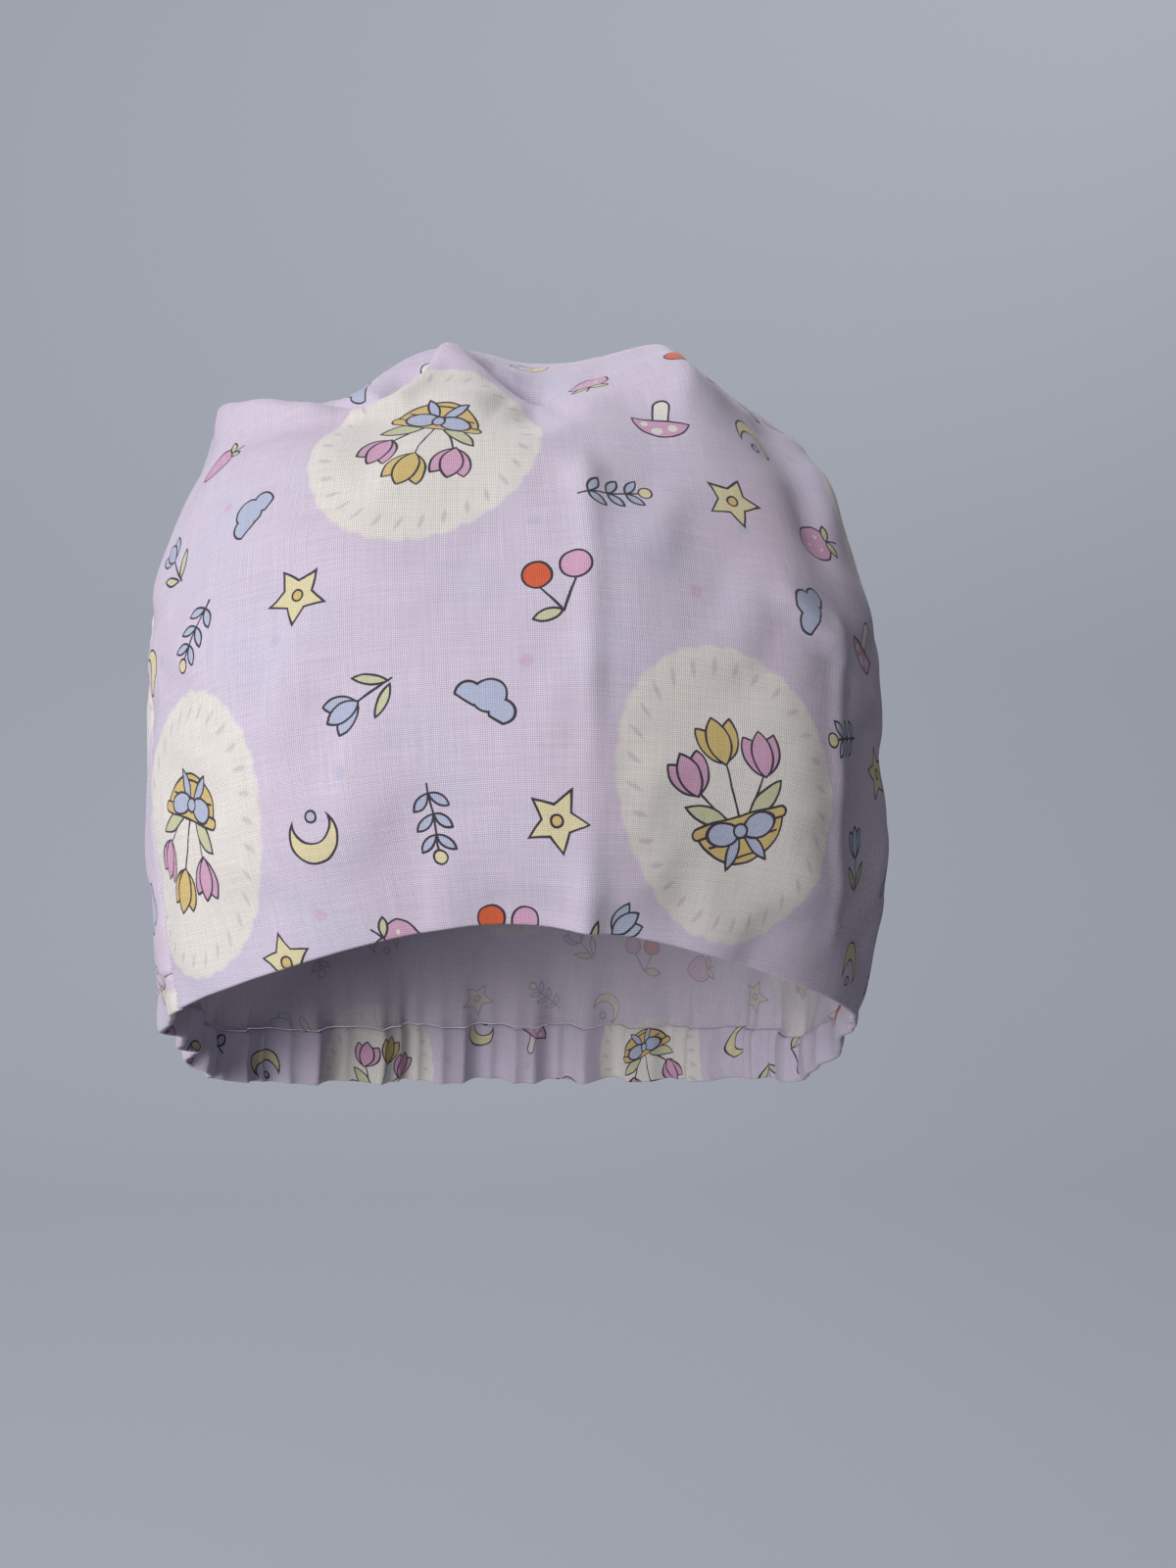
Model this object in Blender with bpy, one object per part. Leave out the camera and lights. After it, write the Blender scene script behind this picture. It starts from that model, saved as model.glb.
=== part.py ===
# A scrub cap, as it sits on a head: a large front panel with a turned front hem,
# a back panel, and a nape casing gathered by the elastic inside it.
# Metres, +Z up. The origin is on the head's axis, level with the middle of the front hem.
# The front of the cap looks along -Y, and its right-hand side in a front view is +X.

import bpy
import numpy as np

# Outer form
half_width = 0.0930        # axis to the fullest place at each side
front_reach = 0.0960       # axis to the middle of the front hem
back_reach = 0.1050        # axis to the fullest place at the back
widest_behind = 0.0240     # the fullest place at the sides lies this far behind the axis
heart_height = 0.0350      # height of the middle that folds and walls are measured from
crown_height = 0.1170      # middle of the front hem to the crown seam
side_drop = 0.0820         # middle of the front hem down to the lower edge at the sides
nape_drop = 0.1220         # middle of the front hem down to the lower edge at the nape
front_fullness = 0.11      # how far a ring swells between its axes, as a share of its reach
back_fullness = 0.045

# Cloth
panel_wall = 0.0013        # one panel with its seam allowance pressed flat
hem_wall = 0.0010          # the cloth that is turned up inside the front edge
casing_wall = 0.0030       # two layers round an elastic
hem_width = 0.0150
casing_width = 0.0200
seam_gap = 0.0003          # clearance kept between neighbouring pieces
hem_end_clearance = 0.0030 # the turned cloth stops short of the side seams

# Gathers that the elastic draws in
gather_count = 16          # across the whole nape casing
gather_depth = 0.0024      # crest to mean line at the lower edge
gather_rise = 0.0340       # the gathers fade out this far above the casing
gather_end_fade = 0.35     # power by which they fade towards the side seams
gather_rise_fade = 1.4     # power by which they fade above the casing
# Their spacing wanders: by how many radians, over how many cycles, starting at which angle
gather_wander = ((0.9, 2.3, 0.6), (0.5, 5.1, 0.0))

# Fabric turned on the head: crease and side corners sit a little to one side
cap_turn = np.radians(6.7)
full_side = np.radians(90.0)

# How places are worked out
least_facing = 0.6         # a wall is measured square to the sheet down to this cosine
search_share = 0.5         # lengths along the cloth are searched up to this height share
search_steps = 200

# Grid of each piece, in quads: the panels share their levels, so their edges meet
back_across = 6 * gather_count
front_across = back_across // 2
casing_up = 3
panel_up = 14
hem_up = 2

cloth_colour = (0.67, 0.60, 0.74, 1.0)

# Rings from the lower edge to the crown seam.
# rise: share of crown_height. side: share of half_width.
# front, back: shares of the reach from the fullest line to the front hem and to the full back.
# side_drop, back_drop: shares of side_drop and nape_drop by which the ring hangs there.
# seam: angle in degrees from the front at which the panels meet.
ring_columns = ("rise", "front", "side", "back", "side_drop", "back_drop", "seam")
ring_table = {
    "lower_edge": (0.00, 1.000, 0.985, 0.728, 1.00, 1.00, 54.0),
    "brow":       (0.25, 0.996, 0.985, 0.942, 0.46, 0.44, 59.0),
    "temple":     (0.50, 0.892, 0.975, 1.000, 0.22, 0.25, 66.0),
    "upper":      (0.72, 0.740, 0.905, 0.870, 0.15, 0.09, 75.0),
    "shoulder":   (0.89, 0.520, 0.825, 0.559, 0.14, 0.00, 84.0),
    "crown":      (0.975, 0.288, 0.745, 0.248, 0.18, 0.00, 89.0),
    "crown_seam": (1.00, 0.000, 0.700, 0.000, 0.20, 0.00, 90.0),
}

# Folds, each along a straight line between two places on the cap.
# side, rise: shares of half_width and crown_height.
# fore: share of front_reach, or of back_reach behind the axis, where it is negative.
# lift: share of crown_height, outwards when positive. spread: share of half_width.
# fade: how much of the lift is gone at the far end.
fold_columns = (
    "from_side", "from_fore", "from_rise", "to_side", "to_fore", "to_rise",
    "lift", "spread", "fade",
)
fold_table = {
    "right_peak":      (0.33, -0.10, 1.00, 0.36, 0.30, 0.90, 0.062, 0.125, 0.25),
    "right_peak_run":  (0.36, 0.30, 0.90, 0.40, 0.62, 0.72, 0.030, 0.100, 0.90),
    "left_peak":       (-0.22, -0.16, 1.00, -0.20, 0.16, 0.97, 0.046, 0.100, 0.10),
    "left_peak_run":   (-0.18, 0.20, 0.95, -0.06, 0.34, 0.90, 0.022, 0.060, 0.80),
    "middle_valley":   (0.01, 0.44, 0.86, 0.03, 0.02, 0.98, -0.075, 0.105, 0.80),
    "left_hollow":     (-0.44, 0.36, 0.86, -0.46, -0.10, 0.95, -0.050, 0.140, 0.60),
    "left_shoulder":   (-0.73, 0.14, 0.84, -0.78, -0.20, 0.84, 0.030, 0.110, 0.50),
    "left_fullness":   (-0.92, 0.20, 0.62, -0.86, 0.00, 0.76, 0.022, 0.220, 0.20),
    "left_edge_outer": (-0.74, 0.14, 0.84, -0.50, 0.36, 0.83, 0.020, 0.060, 0.20),
    "left_edge_inner": (-0.50, 0.36, 0.83, -0.32, 0.42, 0.84, 0.020, 0.055, 0.60),
    "right_dip":       (0.60, 0.30, 0.84, 0.66, 0.60, 0.58, -0.026, 0.085, 0.60),
    "right_ridge":     (0.72, 0.20, 0.80, 0.78, 0.42, 0.62, 0.020, 0.085, 0.70),
    "middle_crease":   (0.12, 0.66, 0.72, 0.115, 1.00, 0.00, 0.014, 0.048, 0.10),
    "right_arc_upper": (0.56, 0.74, 0.52, 0.68, 0.70, 0.46, 0.010, 0.040, 0.00),
    "right_arc_lower": (0.68, 0.70, 0.46, 0.76, 0.68, 0.36, 0.010, 0.040, 0.60),
    "back_fall_left":  (-0.34, -0.50, 0.94, -0.44, -0.94, 0.52, 0.024, 0.130, 0.70),
    "back_fall_right": (0.22, -0.50, 0.95, 0.30, -0.95, 0.46, 0.028, 0.140, 0.70),
    "back_hollow":     (-0.06, -0.48, 0.96, -0.08, -0.96, 0.50, -0.020, 0.140, 0.70),
}


def ring_at(height_share):
    # Cubic through the rows of the ring table, with each row's slope taken from its neighbours.
    rows = np.array(list(ring_table.values()))
    steps = len(rows) - 1
    reached = np.clip(height_share, 0.0, 1.0) * steps
    below = np.minimum(reached.astype(int), steps - 1)
    f = (reached - below)[..., None]
    slope = np.gradient(rows, axis=0)
    start, end = rows[below], rows[below + 1]
    blended = (
        start * (2 * f**3 - 3 * f**2 + 1)
        + slope[below] * (f**3 - 2 * f**2 + f)
        + end * (3 * f**2 - 2 * f**3)
        + slope[below + 1] * (f**3 - f**2)
    )
    return dict(zip(ring_columns, np.moveaxis(blended, -1, 0)))


def smooth_form(angle, height_share):
    # Rings that are oval in plan and hang lower at the sides and the nape than in front.
    ring = ring_at(height_share)
    front_z = ring["rise"] * crown_height
    side_z = front_z - ring["side_drop"] * side_drop
    back_z = front_z - ring["back_drop"] * nape_drop
    second = (front_z + back_z - 2 * side_z) / 4
    ahead = np.cos(angle) > 0
    swell = 1 + np.where(ahead, front_fullness, back_fullness) * np.sin(2 * angle) ** 2
    reach = np.where(
        ahead,
        ring["front"] * (front_reach + widest_behind),
        ring["back"] * (back_reach - widest_behind),
    )
    x = ring["side"] * half_width * np.sin(angle) * swell
    y = widest_behind - reach * np.cos(angle) * swell
    z = side_z + second + (front_z - back_z) / 2 * np.cos(angle) + second * np.cos(2 * angle)
    return np.stack([x, y, z], axis=-1)


def from_heart(points):
    # Directions away from the middle of the cap: level below heart_height, radial above it.
    heart = np.array([0.0, widest_behind / 2, heart_height])
    away = points - heart
    away[..., 2] = np.maximum(away[..., 2], 0.0)
    return away / np.linalg.norm(away, axis=-1, keepdims=True)


def inside_of(points, depth):
    # The same sheet, moved in by a depth that is measured square to it, along from_heart.
    along = np.gradient(points, axis=1)
    up = np.gradient(points, axis=0)
    normal = np.cross(along, up)
    normal /= np.linalg.norm(normal, axis=-1, keepdims=True)
    inward = from_heart(points)
    facing = np.clip(np.sum(normal * inward, axis=-1, keepdims=True), least_facing, 1.0)
    return points - inward * depth / facing


def place(side, fore, rise):
    # A place on the cap from its shares of the named sizes.
    reach = front_reach if fore > 0 else back_reach
    return np.array([side * half_width, -fore * reach, rise * crown_height])


def fold_lift(points):
    # Each fold is a bell across its line, and loses its lift along it.
    lift = np.zeros(points.shape[:-1])
    for row in fold_table.values():
        fold = dict(zip(fold_columns, row))
        start = place(fold["from_side"], fold["from_fore"], fold["from_rise"])
        end = place(fold["to_side"], fold["to_fore"], fold["to_rise"])
        line = end - start
        along = np.clip((points - start) @ line / (line @ line), 0.0, 1.0)
        away = np.linalg.norm(points - start - along[..., None] * line, axis=-1)
        bell = np.exp(-((away / (fold["spread"] * half_width)) ** 2))
        lift += fold["lift"] * crown_height * bell * (1 - fold["fade"] * along)
    return lift


def share_above_edge(angle, length):
    # Height share of the place that lies a length up the cloth from the lower edge.
    heights = np.linspace(0.0, search_share, search_steps + 1)
    line = smooth_form(np.full_like(heights, angle), heights)
    climbed = np.concatenate([[0.0], np.cumsum(np.linalg.norm(np.diff(line, axis=0), axis=1))])
    return np.interp(length, climbed, heights)


casing_top = share_above_edge(np.pi, casing_width)
gather_top = share_above_edge(np.pi, casing_width + gather_rise)
hem_top = share_above_edge(0.0, hem_width)
casing_levels = np.linspace(0.0, casing_top, casing_up + 1)
panel_levels = np.linspace(casing_top, 1.0, panel_up + 1)


def seam_angles(height_share):
    # Where the panels meet on each side: turned with the cap, and straight across at the crown.
    seam = np.radians(ring_at(height_share)["seam"])
    lowest = np.radians(ring_table["lower_edge"][-1])
    turned = cap_turn * (full_side - seam) / (full_side - lowest)
    return seam - turned, seam + turned


def gather_lift(angle, height_share):
    # Waves of uneven width across the nape, none at its two ends and none above gather_top.
    left, right = seam_angles(height_share)
    across = (angle - right) / (2 * np.pi - left - right)
    inside = np.clip(np.sin(np.pi * np.clip(across, 0.0, 1.0)), 0.0, 1.0) ** gather_end_fade
    above = (gather_top - height_share) / (gather_top - casing_top)
    fading = np.clip(above, 0.0, 1.0) ** gather_rise_fade
    turn = 2 * np.pi * across
    phase = gather_count * turn
    for amount, cycles, start in gather_wander:
        phase = phase + amount * np.sin(cycles * turn + start)
    return gather_depth * np.cos(phase) * inside * fading


def cap_form(angle, height_share):
    # The whole outer surface, folds and gathers included.
    smooth = smooth_form(angle, height_share)
    lift = fold_lift(smooth) + gather_lift(angle, height_share)
    return smooth + from_heart(smooth) * lift[..., None]


def front_grid(levels, end_clearance=0.0):
    limit = 1.0 - end_clearance / half_width
    across = np.linspace(-limit, limit, front_across + 1)[None, :]
    heights = levels[:, None] * np.ones_like(across)
    left, right = seam_angles(heights)
    return (right - left) / 2 + across * (right + left) / 2, heights


def back_grid(levels):
    across = np.linspace(0.0, 1.0, back_across + 1)[None, :]
    heights = levels[:, None] * np.ones_like(across)
    left, right = seam_angles(heights)
    return right + across * (2 * np.pi - left - right), heights


def drawn_in(points, rows=(), columns=()):
    # Edges of a grid are drawn in by half a seam gap towards their neighbours.
    for index, inner in rows:
        step = points[inner] - points[index]
        points[index] += step * (seam_gap / 2 / np.linalg.norm(step, axis=-1, keepdims=True))
    for index, inner in columns:
        step = points[:, inner] - points[:, index]
        points[:, index] += step * (seam_gap / 2 / np.linalg.norm(step, axis=-1, keepdims=True))
    return points


def cloth_piece(name, outer, wall, roughness):
    # A sheet and the same sheet moved in by its wall, closed by a rim all round.
    up, across = outer.shape[:2]
    corner = np.arange(up * across).reshape(up, across)
    sheet = np.stack(
        [corner[:-1, :-1], corner[:-1, 1:], corner[1:, 1:], corner[1:, :-1]], axis=-1
    ).reshape(-1, 4)
    lining = sheet[:, ::-1] + up * across
    edge = np.concatenate(
        [corner[0, :-1], corner[:-1, -1], corner[-1, :0:-1], corner[:0:-1, 0]]
    )
    following = np.roll(edge, -1)
    rim = np.stack([following, edge, edge + up * across, following + up * across], axis=-1)
    points = np.concatenate([outer.reshape(-1, 3), inside_of(outer, wall).reshape(-1, 3)])
    mesh = bpy.data.meshes.new(name)
    mesh.from_pydata(points.tolist(), [], np.concatenate([sheet, lining, rim]).tolist())
    mesh.validate()
    mesh.shade_smooth()
    mesh.set_sharp_from_angle(angle=np.radians(50.0))
    piece = bpy.data.objects.new(name, mesh)
    cap_collection.objects.link(piece)
    material = bpy.data.materials.new(name + "_cloth")
    material.use_nodes = True
    shader = material.node_tree.nodes["Principled BSDF"]
    shader.inputs["Base Color"].default_value = cloth_colour
    shader.inputs["Roughness"].default_value = roughness
    shader.inputs["Metallic"].default_value = 0.0
    mesh.materials.append(material)
    return piece


def make_front_panel():
    angle, heights = front_grid(np.concatenate([casing_levels, panel_levels[1:]]))
    points = drawn_in(cap_form(angle, heights), rows=[(-1, -2)], columns=[(0, 1), (-1, -2)])
    return cloth_piece("front_panel", points, panel_wall, 0.85)


def make_front_hem():
    # The turned cloth lies inside the front panel, from its lower edge up.
    angle, heights = front_grid(np.linspace(0.0, hem_top, hem_up + 1), hem_end_clearance)
    inside = inside_of(cap_form(angle, heights), panel_wall + seam_gap)
    return cloth_piece("front_hem", inside, hem_wall, 0.85)


def make_back_panel():
    angle, heights = back_grid(panel_levels)
    points = drawn_in(
        cap_form(angle, heights), rows=[(0, 1), (-1, -2)], columns=[(0, 1), (-1, -2)]
    )
    return cloth_piece("back_panel", points, panel_wall, 0.85)


def make_nape_casing():
    angle, heights = back_grid(casing_levels)
    points = drawn_in(cap_form(angle, heights), rows=[(-1, -2)], columns=[(0, 1), (-1, -2)])
    return cloth_piece("nape_casing", points, casing_wall, 0.88)


for old in list(bpy.data.objects):
    bpy.data.objects.remove(old, do_unlink=True)
cap_collection = bpy.data.collections.new("scrub_cap")
bpy.context.scene.collection.children.link(cap_collection)

make_front_panel()
make_front_hem()
make_back_panel()
make_nape_casing()
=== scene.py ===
# A scrub cap in printed cotton, in the form it takes on a head.
# Metres, +Z up. The front of the cap looks along -Y, and +X is its right in a front view.

import bpy
import numpy as np
from mathutils import Matrix, Vector


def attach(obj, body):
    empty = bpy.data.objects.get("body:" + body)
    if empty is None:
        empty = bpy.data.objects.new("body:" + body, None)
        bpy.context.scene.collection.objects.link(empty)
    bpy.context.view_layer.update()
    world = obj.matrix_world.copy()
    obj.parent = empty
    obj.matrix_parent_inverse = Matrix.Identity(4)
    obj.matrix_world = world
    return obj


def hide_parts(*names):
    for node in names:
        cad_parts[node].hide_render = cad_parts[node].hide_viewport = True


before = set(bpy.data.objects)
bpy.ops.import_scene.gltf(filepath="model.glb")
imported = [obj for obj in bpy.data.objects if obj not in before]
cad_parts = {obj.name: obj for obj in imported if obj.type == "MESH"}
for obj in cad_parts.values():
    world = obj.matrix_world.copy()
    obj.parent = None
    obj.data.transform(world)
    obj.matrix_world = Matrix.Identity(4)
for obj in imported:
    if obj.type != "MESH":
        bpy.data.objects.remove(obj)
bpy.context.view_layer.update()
print("frame loaded:", ", ".join(sorted(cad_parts)))


# Tools for whole arrays of points
def clamped(values):
    return np.clip(values, 0.0, 1.0)


def unit(lines):
    # Each line over its own length
    return lines / np.linalg.norm(lines, axis=-1, keepdims=True)


def squareTo(axes, lines):
    # Each line less its part along its axis, l - (l.a) a, at length one
    return unit(lines - np.sum(lines * axes, axis=-1, keepdims=True) * axes)


def stepLengths(points, axis):
    return np.linalg.norm(np.diff(points, axis=axis), axis=-1)


def runAlong(points, axis=0):
    # Length of the steps from the first point along an axis to each point
    return np.insert(np.cumsum(stepLengths(points, axis), axis=axis), 0, 0.0, axis=axis)


def nearestOnLine(points, start, line):
    # Share of the line at which it comes nearest to each point, and how near it comes
    along = clamped((points - start) @ line / (line @ line))
    return along, np.linalg.norm(points - start - along[..., None] * line, axis=-1)


def gridOf(surface, across, shares):
    columns, rows = np.meshgrid(across, shares)
    return surface(columns, rows)


def numbered(*shape):
    return np.arange(np.prod(shape)).reshape(shape)


def quadsOf(corner):
    # The four corners of each cell of a grid of point numbers, in turn
    cells = (corner[..., :-1, :-1], corner[..., :-1, 1:], corner[..., 1:, 1:], corner[..., 1:, :-1])
    return np.stack(cells, axis=-1).reshape(-1, 4)


def linked(name, data):
    thing = bpy.data.objects.new(name, data)
    bpy.context.scene.collection.objects.link(thing)
    return thing


def newPiece(name, points, faces, materials):
    mesh = bpy.data.meshes.new(name)
    mesh.from_pydata(points.reshape(-1, 3).tolist(), [], faces)
    mesh.shade_smooth()
    for material in materials:
        mesh.materials.append(material)
    return linked(name, mesh)


# The worn form: the same rings, folds and gathers as the solids
capSize = {
    "halfWidth": 0.0930,
    "frontReach": 0.0960,
    "backReach": 0.1050,
    "widestBehind": 0.0240,
    "heartHeight": 0.0350,
    "crownHeight": 0.1170,
    "sideDrop": 0.0820,
    "napeDrop": 0.1220,
    "frontFullness": 0.11,
    "backFullness": 0.045,
    "hemWidth": 0.0150,
    "casingWidth": 0.0200,
    "turn": np.radians(6.7),           # the cap sits turned by this much
    "fullSide": np.radians(90.0),
}
gathers = {
    "count": 16,
    "depth": 0.0024,
    "rise": 0.0340,
    "endFade": 0.35,
    "riseFade": 1.4,
    "wander": ((0.9, 2.3, 0.6), (0.5, 5.1, 0.0)),     # amount, cycles, start
}
# rise: share of crownHeight. front, side, back: shares of the reach each way.
# sideDrop, backDrop: shares of the drops. seam: degrees from the front.
ringColumns = ("rise", "front", "side", "back", "sideDrop", "backDrop", "seam")
ringTable = {
    "lowerEdge": (0.00, 1.000, 0.985, 0.728, 1.00, 1.00, 54.0),
    "brow":      (0.25, 0.996, 0.985, 0.942, 0.46, 0.44, 59.0),
    "temple":    (0.50, 0.892, 0.975, 1.000, 0.22, 0.25, 66.0),
    "upper":     (0.72, 0.740, 0.905, 0.870, 0.15, 0.09, 75.0),
    "shoulder":  (0.89, 0.520, 0.825, 0.559, 0.14, 0.00, 84.0),
    "crown":     (0.975, 0.288, 0.745, 0.248, 0.18, 0.00, 89.0),
    "crownSeam": (1.00, 0.000, 0.700, 0.000, 0.20, 0.00, 90.0),
}
# A fold runs between two places, each (side, fore, rise) in shares of the cap's sizes
foldColumns = ("fromSide", "fromFore", "fromRise", "toSide", "toFore", "toRise", "lift", "spread", "fade")
foldTable = {
    "rightPeak":     (0.33, -0.10, 1.00, 0.36, 0.30, 0.90, 0.062, 0.125, 0.25),
    "rightPeakRun":  (0.36, 0.30, 0.90, 0.40, 0.62, 0.72, 0.030, 0.100, 0.90),
    "leftPeak":      (-0.22, -0.16, 1.00, -0.20, 0.16, 0.97, 0.046, 0.100, 0.10),
    "leftPeakRun":   (-0.18, 0.20, 0.95, -0.06, 0.34, 0.90, 0.022, 0.060, 0.80),
    "middleValley":  (0.01, 0.44, 0.86, 0.03, 0.02, 0.98, -0.075, 0.105, 0.80),
    "leftHollow":    (-0.44, 0.36, 0.86, -0.46, -0.10, 0.95, -0.050, 0.140, 0.60),
    "leftShoulder":  (-0.73, 0.14, 0.84, -0.78, -0.20, 0.84, 0.030, 0.110, 0.50),
    "leftFullness":  (-0.92, 0.20, 0.62, -0.86, 0.00, 0.76, 0.022, 0.220, 0.20),
    "leftEdgeOuter": (-0.74, 0.14, 0.84, -0.50, 0.36, 0.83, 0.020, 0.060, 0.20),
    "leftEdgeInner": (-0.50, 0.36, 0.83, -0.32, 0.42, 0.84, 0.020, 0.055, 0.60),
    "rightDip":      (0.60, 0.30, 0.84, 0.66, 0.60, 0.58, -0.026, 0.085, 0.60),
    "rightRidge":    (0.72, 0.20, 0.80, 0.78, 0.42, 0.62, 0.020, 0.085, 0.70),
    "middleCrease":  (0.12, 0.66, 0.72, 0.115, 1.00, 0.00, 0.014, 0.048, 0.10),
    "rightArcUpper": (0.56, 0.74, 0.52, 0.68, 0.70, 0.46, 0.010, 0.040, 0.00),
    "rightArcLower": (0.68, 0.70, 0.46, 0.76, 0.68, 0.36, 0.010, 0.040, 0.60),
    "backFallLeft":  (-0.34, -0.50, 0.94, -0.44, -0.94, 0.52, 0.024, 0.130, 0.70),
    "backFallRight": (0.22, -0.50, 0.95, 0.30, -0.95, 0.46, 0.028, 0.140, 0.70),
    "backHollow":    (-0.06, -0.48, 0.96, -0.08, -0.96, 0.50, -0.020, 0.140, 0.70),
}
# Finer folds that only the cloth shows. path: places like those of a fold.
# lift and spread: metres. fades: share of the lift lost at the path's start and end.
creases = {
    "leftEdge": {
        "path": ((-0.72, 0.22, 0.83), (-0.55, 0.37, 0.84), (-0.40, 0.42, 0.85),
                 (-0.31, 0.41, 0.865), (-0.255, 0.31, 0.91), (-0.215, 0.20, 0.95)),
        "lift": 0.0024, "spread": 0.0036, "fades": (0.6, 0.6)},
    "behindLeftEdge": {
        "path": ((-0.62, 0.14, 0.88), (-0.52, 0.20, 0.895), (-0.42, 0.25, 0.905),
                 (-0.345, 0.25, 0.92), (-0.30, 0.13, 0.95), (-0.28, 0.04, 0.965)),
        "lift": -0.0105, "spread": 0.0070, "fades": (0.2, 0.7)},
    "leftDrop": {
        "path": ((-0.66, 0.04, 0.89), (-0.58, -0.04, 0.93), (-0.51, -0.14, 0.955)),
        "lift": -0.0080, "spread": 0.0110, "fades": (0.0, 0.0)},
    "farSlope": {
        "path": ((-0.42, -0.04, 0.96), (-0.34, -0.02, 0.97)),
        "lift": 0.0014, "spread": 0.0080, "fades": (0.0, 0.0)},
    "leftShoulderDrop": {
        "path": ((-0.84, 0.12, 0.74), (-0.89, 0.20, 0.58)),
        "lift": -0.0034, "spread": 0.0140, "fades": (0.0, 0.0)},
    "leftPeakTop": {
        "path": ((-0.19, 0.16, 0.96), (-0.20, -0.10, 0.99)),
        "lift": -0.0028, "spread": 0.0070, "fades": (0.0, 0.0)},
    "valleyFront": {
        "path": ((-0.06, 0.43, 0.87), (0.01, 0.45, 0.865), (0.08, 0.43, 0.87)),
        "lift": 0.0036, "spread": 0.0085, "fades": (0.5, 0.5)},
    "valleyLeft": {
        "path": ((-0.13, 0.20, 0.955), (-0.05, 0.27, 0.935), (0.02, 0.30, 0.93)),
        "lift": -0.0034, "spread": 0.0032, "fades": (0.7, 0.0)},
    "valleyRight": {
        "path": ((0.02, 0.30, 0.93), (0.12, 0.27, 0.94), (0.22, 0.22, 0.95)),
        "lift": -0.0016, "spread": 0.0040, "fades": (0.0, 0.9)},
    "rightPeakRidge": {
        "path": ((0.33, 0.06, 0.97), (0.345, 0.30, 0.90), (0.35, 0.48, 0.83)),
        "lift": 0.0010, "spread": 0.0032, "fades": (0.9, 0.9)},
    "besidePeak": {
        "path": ((0.40, 0.06, 0.93), (0.385, 0.28, 0.90)),
        "lift": -0.0030, "spread": 0.0045, "fades": (0.0, 0.0)},
    "rightDrop": {
        "path": ((0.72, 0.10, 0.85), (0.78, 0.16, 0.79)),
        "lift": -0.0036, "spread": 0.0120, "fades": (0.0, 0.0)},
    "rightSideDrop": {
        "path": ((0.86, 0.26, 0.60), (0.90, 0.30, 0.50)),
        "lift": -0.0022, "spread": 0.0120, "fades": (0.0, 0.0)},
    "rightSoftFold": {
        "path": ((0.68, 0.36, 0.78), (0.67, 0.50, 0.70), (0.68, 0.62, 0.58)),
        "lift": -0.0016, "spread": 0.0050, "fades": (0.8, 0.9)},
    "rightArc": {
        "path": ((0.55, 0.75, 0.53), (0.63, 0.74, 0.47), (0.69, 0.72, 0.42), (0.67, 0.79, 0.29),
                 (0.68, 0.83, 0.12), (0.70, 0.81, -0.07)),
        "lift": 0.0012, "spread": 0.0030, "fades": (0.9, 0.6)},
    "pressedCrease": {
        "path": ((0.12, 0.60, 0.78), (0.12, 0.79, 0.60), (0.12, 0.94, 0.38), (0.12, 1.00, 0.00)),
        "lift": 0.0009, "spread": 0.0028, "fades": (0.9, 0.0)},
    "rightRidge": {
        "path": ((0.57, 0.64, 0.64), (0.59, 0.73, 0.54), (0.61, 0.81, 0.41), (0.615, 0.87, 0.29),
                 (0.62, 0.90, 0.16), (0.64, 0.885, 0.02), (0.67, 0.84, -0.13)),
        "lift": 0.0026, "spread": 0.0140, "fades": (0.9, 0.5)},
    "frontRidge": {
        "path": ((0.12, 0.70, 0.70), (0.12, 0.94, 0.38), (0.12, 1.00, 0.00)),
        "lift": 0.0034, "spread": 0.0200, "fades": (0.9, 0.0)},
    "rightLowFullness": {
        "path": ((0.88, 0.52, 0.08), (0.90, 0.50, -0.14)),
        "lift": 0.0032, "spread": 0.0130, "fades": (0.3, 0.3)},
    "leftNapeFullness": {
        "path": ((-0.98, -0.16, -0.66), (-0.94, -0.46, -0.82)),
        "lift": 0.0075, "spread": 0.0180, "fades": (0.5, 0.0)},
}
creaseEnd = 0.3                        # share of its path over which a crease fades


def ringAt(share):
    # Hermite cubic between rows: start(2f^3-3f^2+1) + end(3f^2-2f^3), plus each row's slope
    rows = np.array(list(ringTable.values()))
    steps = len(rows) - 1
    reached = clamped(share) * steps
    below = np.minimum(reached.astype(int), steps - 1)
    f = (reached - below)[..., None]
    slope = np.gradient(rows, axis=0)
    blended = (
        rows[below] * (2 * f**3 - 3 * f**2 + 1)
        + slope[below] * (f**3 - 2 * f**2 + f)
        + rows[below + 1] * (3 * f**2 - 2 * f**3)
        + slope[below + 1] * (f**3 - f**2)
    )
    return dict(zip(ringColumns, np.moveaxis(blended, -1, 0)))


def smoothForm(angle, share):
    # Oval rings: x = side sin a, y = widest - reach cos a, z = level + first cos a + second cos 2a
    ring = ringAt(share)
    frontZ = ring["rise"] * capSize["crownHeight"]
    sideZ = frontZ - ring["sideDrop"] * capSize["sideDrop"]
    backZ = frontZ - ring["backDrop"] * capSize["napeDrop"]
    second = (frontZ + backZ - 2 * sideZ) / 4
    ahead = np.cos(angle) > 0
    fullness = np.where(ahead, capSize["frontFullness"], capSize["backFullness"])
    swell = 1 + fullness * np.sin(2 * angle) ** 2
    frontRun = ring["front"] * (capSize["frontReach"] + capSize["widestBehind"])
    backRun = ring["back"] * (capSize["backReach"] - capSize["widestBehind"])
    x = ring["side"] * capSize["halfWidth"] * np.sin(angle) * swell
    y = capSize["widestBehind"] - np.where(ahead, frontRun, backRun) * np.cos(angle) * swell
    z = sideZ + second + (frontZ - backZ) / 2 * np.cos(angle) + second * np.cos(2 * angle)
    return np.stack([x, y, z], axis=-1)


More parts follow.
